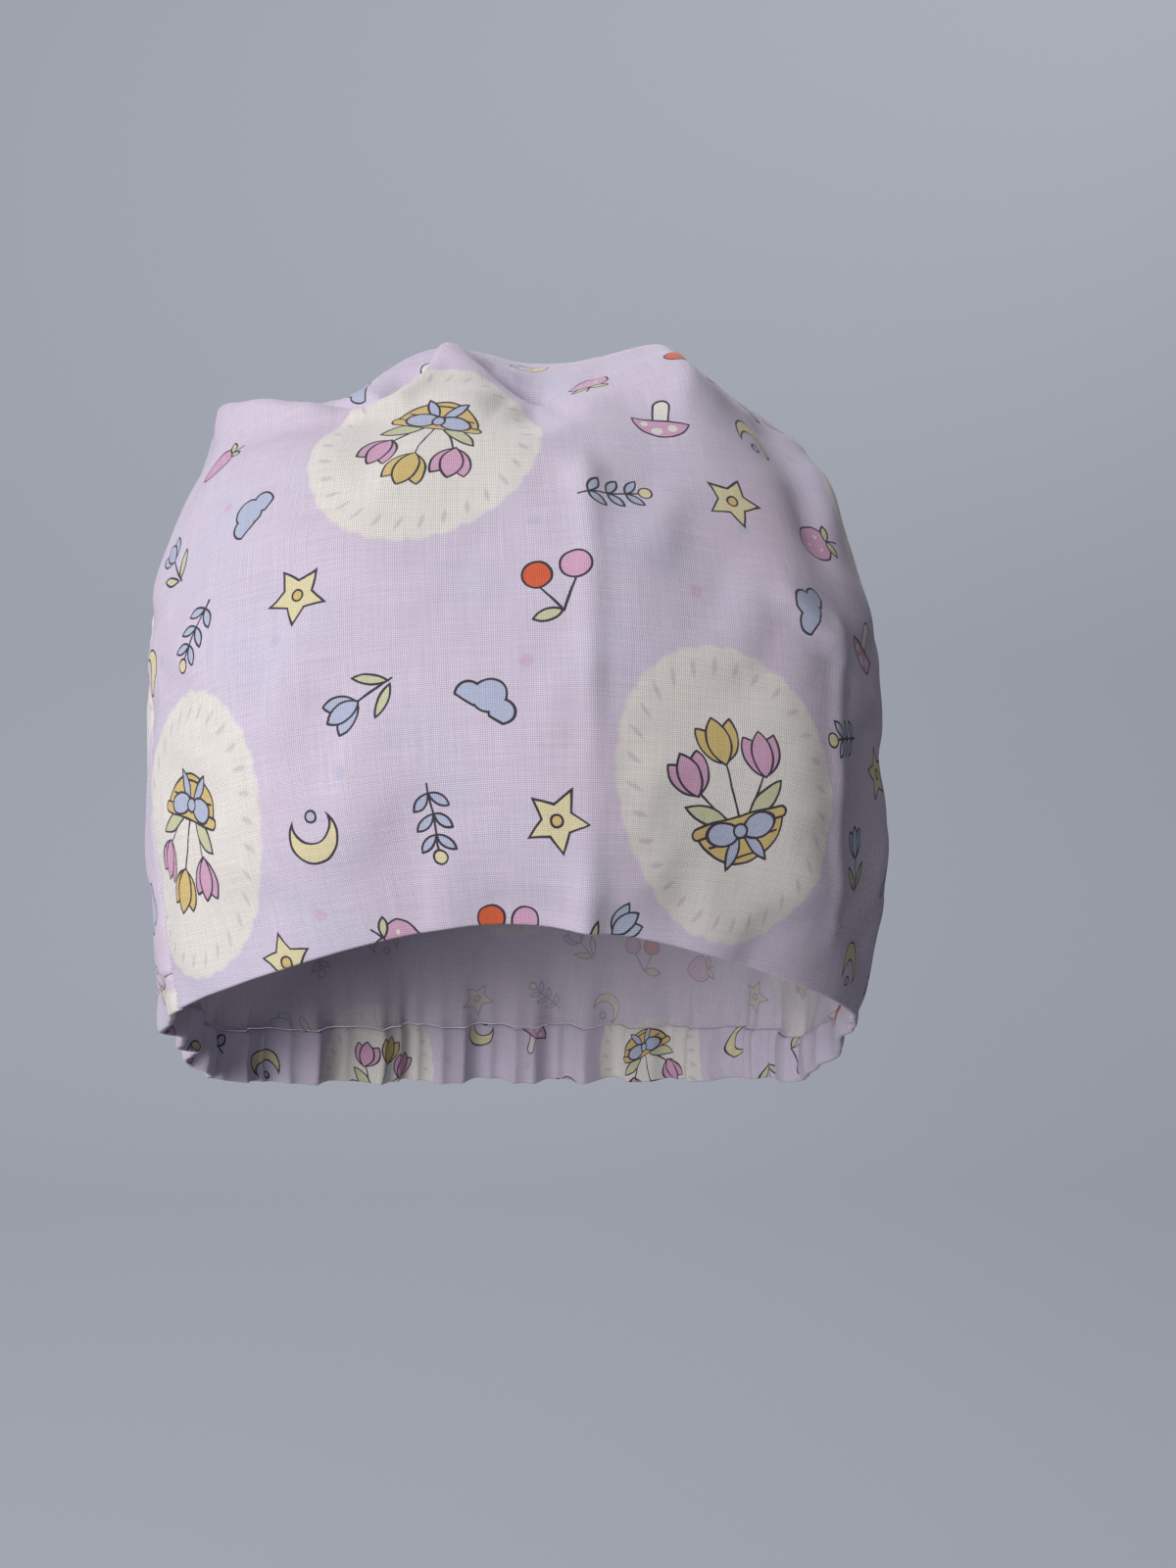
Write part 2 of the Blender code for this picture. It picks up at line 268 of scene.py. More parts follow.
def outwards(points):
    # Unit direction away from the middle of the cap, level below the heart's height
    away = points - np.array([0.0, capSize["widestBehind"] / 2, capSize["heartHeight"]])
    away[..., 2] = np.maximum(away[..., 2], 0.0)
    return unit(away)


def placeOnCap(side, fore, rise):
    # (side, fore, rise) in shares to a place in metres
    reach = capSize["frontReach"] if fore > 0 else capSize["backReach"]
    return np.array([side * capSize["halfWidth"], -fore * reach, rise * capSize["crownHeight"]])


def foldLift(points):
    # Sum over folds of lift exp(-(distance / spread)^2) (1 - fade along)
    lift = np.zeros(points.shape[:-1])
    for row in foldTable.values():
        fold = dict(zip(foldColumns, row))
        start = placeOnCap(fold["fromSide"], fold["fromFore"], fold["fromRise"])
        line = placeOnCap(fold["toSide"], fold["toFore"], fold["toRise"]) - start
        along, away = nearestOnLine(points, start, line)
        bell = np.exp(-((away / (fold["spread"] * capSize["halfWidth"])) ** 2))
        lift += fold["lift"] * capSize["crownHeight"] * bell * (1 - fold["fade"] * along)
    return lift


def leftByEnd(t, fade):
    # 1 - fade (1 - t / creaseEnd)^2 up to creaseEnd, and 1 beyond it
    return 1 - fade * (1 - clamped(t / creaseEnd)) ** 2


def creaseLift(points):
    # Sum over creases of lift exp(-(distance to the path / spread)^2), less towards each end
    lift = np.zeros(points.shape[:-1])
    for crease in creases.values():
        path = np.array([placeOnCap(*place) for place in crease["path"]])
        runs = runAlong(path)
        nearest = np.full(points.shape[:-1], np.inf)
        run = np.zeros(points.shape[:-1])
        for start, line, before, length in zip(path, np.diff(path, axis=0), runs, np.diff(runs)):
            along, away = nearestOnLine(points, start, line)
            run = np.where(away < nearest, before + along * length, run)
            nearest = np.minimum(away, nearest)
        t = run / runs[-1]
        first, last = crease["fades"]
        ends = leftByEnd(t, first) * leftByEnd(1 - t, last)
        lift += crease["lift"] * ends * np.exp(-((nearest / crease["spread"]) ** 2))
    return lift


edgeSearch = {"highest": 0.5, "steps": 201}      # height shares looked through from the lower edge


def shareAboveEdge(angle, length):
    # Height share at which the cloth has climbed a length from its lower edge
    shares = np.linspace(0.0, edgeSearch["highest"], edgeSearch["steps"])
    climbed = runAlong(smoothForm(np.full_like(shares, angle), shares))
    return np.interp(length, climbed, shares)


casingTop = shareAboveEdge(np.pi, capSize["casingWidth"])
gatherTop = shareAboveEdge(np.pi, capSize["casingWidth"] + gathers["rise"])
hemTop = shareAboveEdge(0.0, capSize["hemWidth"])


def seamAngles(share):
    # Angle of the side seams, left and right, turned with the cap and straight at the crown
    seam = np.radians(ringAt(share)["seam"])
    lowest = np.radians(ringTable["lowerEdge"][-1])
    turned = capSize["turn"] * (capSize["fullSide"] - seam) / (capSize["fullSide"] - lowest)
    return seam - turned, seam + turned


# Small gathers between the large ones: rounded lobes with sharp valleys
fineGathers = {
    "count": 43,
    "depth": 0.0009,
    "rise": 0.018,
    "wander": ((2.1, 3.7, 0.4), (1.3, 8.3, 1.9)),
    "endRuns": (0.05, 0.24),           # shares of the way round over which they grow, right and left
}
fineTop = shareAboveEdge(np.pi, capSize["casingWidth"] + fineGathers["rise"])


def gatherPhase(look, turn):
    # count turn + sum of amount sin(cycles turn + start)
    phase = look["count"] * turn
    for amount, cycles, start in look["wander"]:
        phase = phase + amount * np.sin(cycles * turn + start)
    return phase


def leftBelow(share, top):
    # 1 at the casing's upper edge, down to 0 at the top
    return clamped((top - share) / (top - casingTop))


def gatherLift(angle, share):
    # Large waves depth cos(phase), and small lobes depth (2|sin phase/2| - 1), fading upwards
    left, right = seamAngles(share)
    across = clamped((angle - right) / (2 * np.pi - left - right))
    turn = 2 * np.pi * across
    large = gathers["depth"] * np.cos(gatherPhase(gathers, turn))
    large = large * leftBelow(share, gatherTop) ** gathers["riseFade"]
    small = fineGathers["depth"] * (2 * np.abs(np.sin(gatherPhase(fineGathers, turn) / 2)) - 1)
    small = small * leftBelow(share, fineTop)
    fromRight, fromLeft = fineGathers["endRuns"]
    small = small * clamped(across / fromRight) * clamped((1 - across) / fromLeft) ** 2
    inside = clamped(np.sin(np.pi * across)) ** gathers["endFade"]
    return (large + small) * inside


# Slight waviness of the whole cloth. waves: direction, wave length, start.
ripple = {
    "height": 0.00032,
    "bend": 1.4,
    "waves": (
        ((0.8, 0.1, 0.6), 0.041, 0.0),
        ((-0.5, 0.4, 0.9), 0.029, 1.7),
        ((0.2, -0.9, 0.5), 0.023, 0.9),
    ),
}


def rippleLift(points):
    # height times the sum of sin(2 pi p.d / length + start + bend x the wave before)
    total = np.zeros(points.shape[:-1])
    wave = np.zeros(points.shape[:-1])
    for direction, length, start in ripple["waves"]:
        along = 2 * np.pi * (points @ np.array(direction)) / length
        wave = np.sin(along + start + ripple["bend"] * wave)
        total += wave
    return ripple["height"] * total


# Places where the lower edge hangs lower: turn from the front, reach each way, drop in metres
sags = {
    "behindRightSeam": {"turn": np.radians(88.0), "reach": np.radians(18.0), "drop": 0.0110},
    "behindLeftSeam": {"turn": np.radians(-103.0), "reach": np.radians(20.0), "drop": 0.0035},
}
sagTop = 0.42                          # height share at which a sag has gone


def sagDrop(angle, share):
    # Sum of drop exp(-(turn away / reach)^2), full over the casing, then times 1 - 3f^2 + 2f^3
    drop = np.zeros(np.shape(share))
    for sag in sags.values():
        away = (angle - sag["turn"] + np.pi) % (2 * np.pi) - np.pi
        drop = drop + sag["drop"] * np.exp(-((away / sag["reach"]) ** 2))
    f = clamped((share - casingTop) / (sagTop - casingTop))
    return drop * (1 - 3 * f**2 + 2 * f**3)


def capSurface(angle, share):
    # Smooth form moved outwards by folds, creases, gathers and waviness, and down by the sags
    smooth = smoothForm(angle, share)
    lift = foldLift(smooth) + creaseLift(smooth) + gatherLift(angle, share) + rippleLift(smooth)
    points = smooth + outwards(smooth) * lift[..., None]
    points[..., 2] -= sagDrop(angle, share)
    return points


def frontSurface(across, share):
    # across from -1 at the left seam to 1 at the right seam
    left, right = seamAngles(share)
    return capSurface((right - left) / 2 + across * (right + left) / 2, share)


def backSurface(across, share):
    # across from -1 at the right seam, round the back, to 1 at the left seam
    left, right = seamAngles(share)
    return capSurface(right + (across + 1) / 2 * (2 * np.pi - left - right), share)


# Flat cutting pattern of each panel, so that weave and print follow the cloth
flattening = {"columns": 49, "rows": 37, "rounds": 1500, "pull": 0.9, "leastLength": 1e-9}


def flattened(surface, lowest):
    # Starts from arc lengths, then every edge and diagonal pulls its ends to its true length
    look = flattening
    across = np.linspace(-1.0, 1.0, look["columns"])
    points = gridOf(surface, across, np.linspace(lowest, 1.0, look["rows"]))
    middle = look["columns"] // 2
    aside = runAlong(points, 1)
    up = np.repeat(runAlong(points, 0)[:, [middle]], look["columns"], axis=1)
    flat = np.stack([aside - aside[:, [middle]], up], axis=-1)
    whole, first, last = slice(None), slice(0, -1), slice(1, None)
    pairs = [((whole, first), (whole, last)), ((first, whole), (last, whole))]
    pairs += [((first, first), (last, last)), ((first, last), (last, first))]
    lengths = [np.linalg.norm(points[a] - points[b], axis=-1) for a, b in pairs]
    counts = np.zeros(flat.shape[:2])
    for a, b in pairs:
        counts[a] += 1
        counts[b] += 1
    for _ in range(look["rounds"]):
        move = np.zeros_like(flat)
        for (a, b), length in zip(pairs, lengths):
            line = flat[b] - flat[a]
            now = np.linalg.norm(line, axis=-1)
            pull = line * ((now - length) / np.maximum(now, look["leastLength"]) / 2)[..., None]
            move[a] += pull
            move[b] -= pull
        flat += look["pull"] * 2 * move / counts[..., None]
    return flat - flat[0, middle]


def resampled(table, places, axis):
    # Catmull-Rom through an even table, at places from 0 to 1 along an axis
    table = np.moveaxis(table, axis, 0)
    reached = clamped(places) * (len(table) - 1)
    below = np.minimum(reached.astype(int), len(table) - 2)
    f = (reached - below).reshape(-1, *[1] * (table.ndim - 1))
    before, start, end, after = (table[np.clip(below + k, 0, len(table) - 1)] for k in (-1, 0, 1, 2))
    squared = 2 * before - 5 * start + 4 * end - after
    cubed = 3 * (start - end) + after - before
    blended = start + 0.5 * f * (end - before + f * (squared + f * cubed))
    return np.moveaxis(blended, 0, axis)


def flatOf(table, across, shares, lowest):
    # Flat places of a grid, read from a panel's flat table by height share and then across
    rows = resampled(table, (shares - lowest) / (1.0 - lowest), 0)
    return resampled(rows, (across + 1) / 2, 1)


def flatSize(flat):
    # Width and length of the cut's box, and half the cross product of each cell's diagonals
    size = flat.reshape(-1, 2).max(axis=0) - flat.reshape(-1, 2).min(axis=0)
    rising = flat[1:, 1:] - flat[:-1, :-1]
    falling = flat[1:, :-1] - flat[:-1, 1:]
    area = np.abs(rising[..., 0] * falling[..., 1] - rising[..., 1] * falling[..., 0]).sum() / 2
    return (float(size[0]), float(size[1])), float(area)


frontFlat = flattened(frontSurface, 0.0)
backFlat = flattened(backSurface, casingTop)
print("panels laid flat:", flatSize(frontFlat), flatSize(backFlat))


# Seams: both panels turn in at them, and the cloth puckers beside them
seams = {
    "depth": 0.0010,
    "width": 0.0009,
    "steepness": 1.3,
    "puckerHeight": 0.00022,
    "puckerLength": 0.0085,
    "puckerReach": 0.0050,
    "puckerWay": (0.6, 0.7, 1.0),      # direction in which the puckers are counted
    "puckerDrift": 210.0,
    "closeLines": (0.0, 0.0014, 0.0030, 0.0052, 0.0080),   # shares of the width, near each seam
}
# Edges of a grid that are seams: axis, whether at its end, share of the depth
sideSeams = [(1, False, 1.0), (1, True, 1.0)]
crownSeam = [(0, True, 1.0)]


def closeEnded(count, low, high, ends=(True, True)):
    # Even places from low to high, with closer ones near the ends that are seams
    close = np.array(seams["closeLines"])
    start = close if ends[0] else np.zeros(1)
    finish = 1.0 - (close[::-1] if ends[1] else np.zeros(1))
    even = np.linspace(start[-1], finish[0], count)[1:-1]
    return low + (high - low) * np.concatenate([start, even, finish])


def runFromEnd(points, axis, atEnd):
    # Length of cloth from one edge of the grid to each of its points
    run = runAlong(points, axis)
    return np.take(run, [-1], axis=axis) - run if atEnd else run


def turnedIn(points, edges):
    # Each seam sinks by depth exp(-(run / width)^steepness), and puckers by (1 + sin) exp(-run / reach)
    along = points @ np.array(seams["puckerWay"])
    wave = np.sin(2 * np.pi * along / seams["puckerLength"] + np.sin(along * seams["puckerDrift"]))
    sink = np.zeros(points.shape[:-1])
    for axis, atEnd, share in edges:
        run = runFromEnd(points, axis, atEnd)
        turn = seams["depth"] * np.exp(-((run / seams["width"]) ** seams["steepness"]))
        pucker = seams["puckerHeight"] * (1 + wave) * np.exp(-run / seams["puckerReach"])
        sink = np.maximum(sink, share * turn) + share * pucker
    return points - outwards(points) * sink[..., None]


def clothObject(name, points, flat, thickness, materials):
    # Quads between the grid's points, with their flat places as a UV map in metres
    faces = quadsOf(numbered(*points.shape[:2]))
    piece = newPiece(name, points, faces.tolist(), materials)
    uvMap = piece.data.uv_layers.new(name="flat")
    uvMap.data.foreach_set("uv", flat.reshape(-1, 2)[faces.ravel()].astype(np.float32).ravel())
    wall = piece.modifiers.new("wall", "SOLIDIFY")
    wall.thickness = thickness
    wall.offset = -1.0
    wall.material_offset = len(materials) - 1
    return piece


# Shader arithmetic: a Field is an output in a node tree, and working with it adds nodes
def feed(tree, slot, value):
    if isinstance(value, Field):
        tree.links.new(value.socket, slot)
    else:
        slot.default_value = value


class Field:
    def __init__(self, tree, socket):
        self.tree = tree
        self.socket = socket

    def math(self, operation, *others, clamp=False):
        node = self.tree.nodes.new("ShaderNodeMath")
        node.operation = operation
        node.use_clamp = clamp
        for slot, value in zip(node.inputs, (self, *others)):
            feed(self.tree, slot, value)
        return Field(self.tree, node.outputs["Value"])

    def vector(self, operation, *others):
        node = self.tree.nodes.new("ShaderNodeVectorMath")
        node.operation = operation
        slots = [node.inputs[0], node.inputs["Scale"]] if operation == "SCALE" else node.inputs
        for slot, value in zip(slots, (self, *others)):
            feed(self.tree, slot, value)
        scalar = operation in ("DISTANCE", "DOT_PRODUCT", "LENGTH")
        return Field(self.tree, node.outputs["Value" if scalar else "Vector"])

    def turned(self, angle, centre=(0.0, 0.0, 0.0)):
        node = self.tree.nodes.new("ShaderNodeVectorRotate")
        node.rotation_type = "Z_AXIS"
        for label, value in {"Vector": self, "Center": centre, "Angle": angle}.items():
            feed(self.tree, node.inputs[label], value)
        return Field(self.tree, node.outputs["Vector"])

    def parts(self):
        node = self.tree.nodes.new("ShaderNodeSeparateXYZ")
        feed(self.tree, node.inputs[0], self)
        return [Field(self.tree, output) for output in node.outputs]

    def mixed(self, other, share, blend="MIX"):
        node = self.tree.nodes.new("ShaderNodeMix")
        node.data_type = "RGBA"
        node.blend_type = blend
        # a Mix node's colour sockets are inputs 6 and 7 and output 2
        for index, value in {0: share, 6: self, 7: other}.items():
            feed(self.tree, node.inputs[index], value)
        return Field(self.tree, node.outputs[2])

    def __add__(self, other):
        return self.math("ADD", other)

    def __sub__(self, other):
        return self.math("SUBTRACT", other)

    def __mul__(self, other):
        return self.math("MULTIPLY", other)


def joined(tree, x, y, z=0.0):
    node = tree.nodes.new("ShaderNodeCombineXYZ")
    for slot, value in zip(node.inputs, (x, y, z)):
        feed(tree, slot, value)
    return Field(tree, node.outputs[0])


def plain(tree, colour):
    return joined(tree, *colour[:3])


def noiseOf(place, scale, detail=1.0, output="Fac"):
    node = place.tree.nodes.new("ShaderNodeTexNoise")
    node.noise_dimensions = "3D"
    for label, value in {"Vector": place, "Scale": scale, "Detail": detail}.items():
        feed(place.tree, node.inputs[label], value)
    return Field(place.tree, node.outputs[output])


def newGroup(name, inputs, outputs):
    tree = bpy.data.node_groups.new(name, "ShaderNodeTree")
    kinds = {"vector": "NodeSocketVector", "colour": "NodeSocketColor", "value": "NodeSocketFloat"}
    for way, sockets in {"INPUT": inputs, "OUTPUT": outputs}.items():
        for label, kind in sockets.items():
            tree.interface.new_socket(label, in_out=way, socket_type=kinds[kind])
    source = tree.nodes.new("NodeGroupInput")
    sink = tree.nodes.new("NodeGroupOutput")
    return tree, {label: Field(tree, source.outputs[label]) for label in inputs}, sink


def useGroup(tree, group, **given):
    node = tree.nodes.new("ShaderNodeGroup")
    node.node_tree = group
    for label, value in given.items():
        feed(tree, node.inputs[label], value)
    return {output.name: Field(tree, output) for output in node.outputs}


def newMaterial(name, constants):
    # A material whose constants stand on its shader's own sockets
    material = bpy.data.materials.new(name)
    material.use_nodes = True
    tree = material.node_tree
    shader = tree.nodes["Principled BSDF"]
    for label, value in constants.items():
        shader.inputs[label].default_value = value
    return material, tree, shader


def paint(red, green, blue):
    # sRGB from 0 to 255 to linear: ((c + 0.055) / 1.055)^2.4, or c / 12.92 in the darkest part
    c = np.array([red, green, blue]) / 255.0
    linear = np.where(c > 0.04045, ((c + 0.055) / 1.055) ** 2.4, c / 12.92)
    return (*[float(value) for value in linear], 1.0)


inks = {
    "ground": paint(214, 203, 223),
    "groundBlue": paint(206, 204, 226),
    "groundPink": paint(220, 203, 223),
    "cream": paint(231, 226, 222),
    "rim": paint(214, 203, 207),
    "pink": paint(214, 168, 198),
    "straw": paint(216, 191, 128),
    "butter": paint(227, 216, 176),
    "blue": paint(184, 191, 217),
    "red": paint(218, 102, 68),
    "sage": paint(205, 207, 172),
    "line": paint(66, 60, 72),
    "wrong": paint(213, 205, 217),
}


class Pen:
    # Draws in millimetres: a shape is its distance, below zero inside
    sharpness = 9.0

    def __init__(self, place, colour, line):
        self.tree = place.tree
        self.place = place
        self.colour = colour
        self.line = line

    def mirrored(self):
        x, y = self.place.parts()[:2]
        return Pen(joined(self.tree, x.math("ABSOLUTE"), y), self.colour, self.line)

    def circle(self, centre, radius):
        return self.place.vector("DISTANCE", (*centre, 0.0)) - radius

    def oval(self, centre, radii, degrees=0.0):
        # (|p / radii| - 1) times the smaller radius
        place = self.place
        if degrees:
            place = place.turned(-np.radians(degrees), (*centre, 0.0))
        scaled = place.vector("MULTIPLY", (1 / radii[0], 1 / radii[1], 0.0))
        middle = (centre[0] / radii[0], centre[1] / radii[1], 0.0)
        smaller = min(radii)
        return scaled.vector("DISTANCE", middle).math("MULTIPLY_ADD", smaller, -smaller)

    def leaf(self, start, end, width):
        # Where two circles through both ends overlap: R = (L^2 / 4 + h^2) / 2h, h half the width
        line = np.subtract(end, start)
        half = width / 2
        radius = (line @ line / 4 + half**2) / width
        middle = np.add(start, end) / 2
        aside = np.array([-line[1], line[0]]) / np.linalg.norm(line) * (radius - half)
        left = self.place.vector("DISTANCE", (*(middle + aside), 0.0))
        right = self.place.vector("DISTANCE", (*(middle - aside), 0.0))
        return left.math("MAXIMUM", right) - float(radius)

    def stroke(self, start, end, width=0.0):
        # Distance to the nearest point start + t (end - start), t kept from 0 to 1
        line = np.subtract(end, start)
        t = self.place.vector("DOT_PRODUCT", (*(line / (line @ line)), 0.0))
        t = t.math("ADD", -float(np.dot(start, line) / (line @ line)), clamp=True)
        nearest = t.vector("MULTIPLY_ADD", (*line, 0.0), (*start, 0.0))
        return self.place.vector("DISTANCE", nearest) - width / 2

    def above(self, height):
        # All of the place whose y is more than the height
        return self.place.vector("DOT_PRODUCT", (0.0, -1.0, 0.0)) + height

    def fill(self, distance, ink, sharpness=sharpness):
        inside = distance.math("MULTIPLY_ADD", -sharpness, 0.5, clamp=True)
        self.colour = self.colour.mixed(inks[ink], inside)

    def trace(self, distance):
        # Ink within half a line of the shape's edge
        edge = self.line - distance.math("ABSOLUTE")
        inked = edge.math("MULTIPLY_ADD", self.sharpness, 0.5, clamp=True)
        self.colour = self.colour.mixed(inks["line"], inked)

    def draw(self, distance, ink):
        self.fill(distance, ink)
        self.trace(distance)


# The motifs, drawn in millimetres about their own middles
def drawCherries(pen):
    pen.trace(pen.stroke((0.6, 6.4), (-3.0, 0.0)))
    pen.trace(pen.stroke((0.6, 6.4), (3.6, 0.6)))
    pen.draw(pen.circle((-3.5, -2.8), 2.9), "pink")
    pen.draw(pen.circle((3.8, -2.2), 2.8), "red")
    pen.draw(pen.leaf((0.8, 6.2), (6.4, 7.2), 2.5), "sage")


def drawMushroom(pen):
    pen.draw(pen.stroke((0.0, 0.0), (0.3, -4.4), 3.4), "cream")
    pen.draw(pen.circle((0.0, -1.4), 6.4).math("MAXIMUM", pen.above(0.0)), "pink")
    for centre, radius in (((-2.7, 2.0), 1.0), ((0.7, 3.3), 1.2), ((3.5, 1.4), 0.8)):
        pen.fill(pen.circle(centre, radius), "cream")


def drawStar(pen):
    # Five points: the place is folded into a tenth of a turn, where an edge is one line n.p = n.tip
    tip, notch, tenth = 6.2, 3.2, np.pi / 5
    normal = unit(np.array([tip - notch * np.cos(tenth), notch * np.sin(tenth)]))
    x, y = pen.place.parts()[:2]
    angle = x.math("ARCTAN2", y).math("PINGPONG", tenth)
    leaning = (angle - float(np.arctan2(*normal))).math("COSINE")
    pen.draw(leaning * pen.place.vector("LENGTH") - float(normal[1] * tip), "butter")
    pen.draw(pen.circle((0.0, 0.0), 1.2), "straw")


def drawMoon(pen):
    bite = pen.circle((2.5, 1.2), 4.1) * -1.0
    pen.draw(pen.circle((0.0, 0.0), 5.2).math("MAXIMUM", bite), "butter")
    pen.draw(pen.circle((3.4, 1.4), 1.1), "blue")


def drawTulip(pen):
    pen.trace(pen.stroke((0.0, 1.4), (0.5, -7.2)))
    pair = pen.mirrored()
    pair.draw(pair.leaf((0.4, -6.4), (4.6, -0.8), 2.0), "sage")
    pair.draw(pair.leaf((0.4, 0.8), (3.3, 6.6), 3.2), "blue")
    pen.colour = pair.colour
    pen.draw(pen.leaf((0.0, 0.4), (0.0, 7.4), 3.8), "blue")


def drawCloud(pen):
    left = pen.circle((-3.5, -0.8), 2.5)
    middle = pen.circle((-0.2, 1.0), 3.2)
    right = pen.circle((3.6, -0.4), 2.3)
    body = left.math("MINIMUM", middle).math("MINIMUM", right)
    pen.draw(body.math("MAXIMUM", pen.above(-2.2)), "blue")


def drawStrawberry(pen):
    pair = pen.mirrored()
    body = pair.leaf((0.0, 6.4), (0.0, -6.2), 8.8).math("MAXIMUM", pair.circle((0.0, -1.4), 5.0))
    pair.draw(body, "pink")
    for centre in ((1.7, 0.4), (0.0, -2.4)):
        pair.fill(pair.circle(centre, 0.42), "cream")
    pair.draw(pair.leaf((0.0, 3.0), (4.0, 4.3), 1.8), "sage")
    pen.colour = pair.colour
    pen.trace(pen.stroke((0.0, 3.6), (0.7, 6.0)))


def drawSprig(pen):
    # Leaves in pairs: x is folded at the stem, and y is wrapped along it
    pen.trace(pen.stroke((0.0, -7.4), (0.0, 5.6)))
    x, y = pen.place.parts()[:2]
    pairs = Pen(joined(pen.tree, x.math("ABSOLUTE"), y.math("WRAP", 2.0, -2.0)), pen.colour, pen.line)
    leaf = pairs.leaf((0.1, -1.5), (3.5, 1.4), 1.9)
    pairs.draw(leaf.math("MAXIMUM", y.math("ABSOLUTE") - 6.0), "blue")
    pen.colour = pairs.colour
    pen.draw(pen.circle((0.0, 6.8), 1.4), "butter")


def drawPosy(pen):
    # Three tulips in a basket with a bow
    pair = pen.mirrored()
    pair.trace(pair.stroke((7.4, 3.4), (1.8, -6.0)))
    pair.draw(pair.leaf((1.6, -5.4), (10.4, 0.6), 3.4), "sage")
    pair.draw(pair.leaf((7.2, 2.2), (11.6, 9.6), 4.2), "pink")
    pair.draw(pair.leaf((7.2, 2.2), (5.2, 10.6), 4.2), "pink")
    pair.draw(pair.leaf((7.3, 2.0), (8.6, 11.0), 4.4), "pink")
    pair.draw(pair.leaf((0.2, 6.6), (3.6, 14.6), 4.2), "straw")
    pen.colour = pair.colour
    pen.draw(pen.leaf((0.0, 6.2), (0.0, 15.8), 4.8), "straw")
    pen.trace(pen.stroke((0.0, 6.0), (0.0, -6.0)))
    basket = pen.circle((0.0, -3.6), 9.6).math("MAXIMUM", pen.above(-5.0) * -1.0)
    pen.draw(basket, "straw")
    bands = pen.above(-5.0).math("PINGPONG", 1.7)
    pen.trace(bands.math("MAXIMUM", basket + 0.9))
    pen.draw(pen.stroke((-9.2, -5.0), (9.2, -5.0), 2.2), "straw")
    bow = pen.mirrored()
    bow.draw(bow.leaf((0.6, -7.4), (4.4, -13.6), 2.3), "blue")
    bow.draw(bow.oval((3.9, -6.6), (3.5, 2.3), 14.0), "blue")
    bow.draw(bow.circle((0.0, -6.9), 1.4), "blue")
    pen.colour = bow.colour


smallMotifs = {
    "cherries": drawCherries,
    "mushroom": drawMushroom,
    "star": drawStar,
    "tulip": drawTulip,
    "moon": drawMoon,
    "strawberry": drawStrawberry,
    "cloud": drawCloud,
    "sprig": drawSprig,
}


def motifGroup(name, draw):
    inputs = {"Place": "vector", "Under": "colour", "Line": "value"}
    tree, given, sink = newGroup(name, inputs, {"Colour": "colour"})
    pen = Pen(given["Place"], given["Under"], given["Line"])
    draw(pen)
    feed(tree, sink.inputs["Colour"], pen.colour)
    return tree


# The print in millimetres: faint dots, cream ovals that hold a posy, and small tossed motifs
ground = {"driftScale": 0.035, "driftDetail": 3.0, "contrast": 4.0, "blueFrom": 2.1, "pinkFrom": 1.9}
dots = {
    "pitch": (37.0, 31.0),
    "offset": (9.0, 5.0),
    "shift": 18.0,
    "radius": 1.3,
    "sharpness": 1.4,
    "strength": 0.45,
    "seed": 11.0,
}
ovals = {
    "pitch": (118.0, 80.0),
    "radii": (23.5, 30.0),
    "tilt": 0.5,                       # radians each way
    "edgeWave": 2.0,
    "edgeSharpness": 1.3,
    "rimTicks": 30,
    "rimInset": 3.4,
    "rimLeaf": ((-0.7, -1.4), (0.7, 1.4), 1.0),
    "rimSharpness": 2.0,
    "seed": 7.0,
}
tossed = {
    "pitch": (25.0, 23.0),
    "shift": 3.0,
    "order": (3.0, 7.0),               # steps in the list of motifs, to the next column and row
    "keepClear": 9.5,
    "outOfSight": 100.0,
    "seed": 3.0,
}
# What an even hand does: its line in millimetres, and how far it wanders
drawnLine = {"half": 0.23, "change": 0.25, "wobble": 0.9, "wobbleScale": 0.16}


def latticeCell(place, pitch):
    # Rows of cells, every other row moved by half a cell; gives the cell and the place in it
    wide, high = pitch
    x, y = place.parts()[:2]
    v = y * (1 / high)
    row = v.math("FLOOR")
    u = x.math("MULTIPLY_ADD", 1 / wide, row.math("FLOORED_MODULO", 2.0) * 0.5)
    column = u.math("FLOOR")
    aside = (u - column).math("MULTIPLY_ADD", wide, -wide / 2)
    up = (v - row).math("MULTIPLY_ADD", high, -high / 2)
    return joined(place.tree, column, row), joined(place.tree, aside, up)


def randomOf(cell, seed):
    node = cell.tree.nodes.new("ShaderNodeTexWhiteNoise")
    node.noise_dimensions = "3D"
    feed(cell.tree, node.inputs["Vector"], cell.vector("ADD", (0.0, 0.0, seed)))
    return Field(cell.tree, node.outputs["Value"]), Field(cell.tree, node.outputs["Color"])


def scattered(cell, look):
    # A cell's own chance, and its own shift of up to half of look's each way
    chance, threeChances = randomOf(cell, look["seed"])
    shift, half = look["shift"], look["shift"] / 2
    return chance, threeChances.vector("MULTIPLY_ADD", (shift, shift, 0.0), (-half, -half, 0.0))


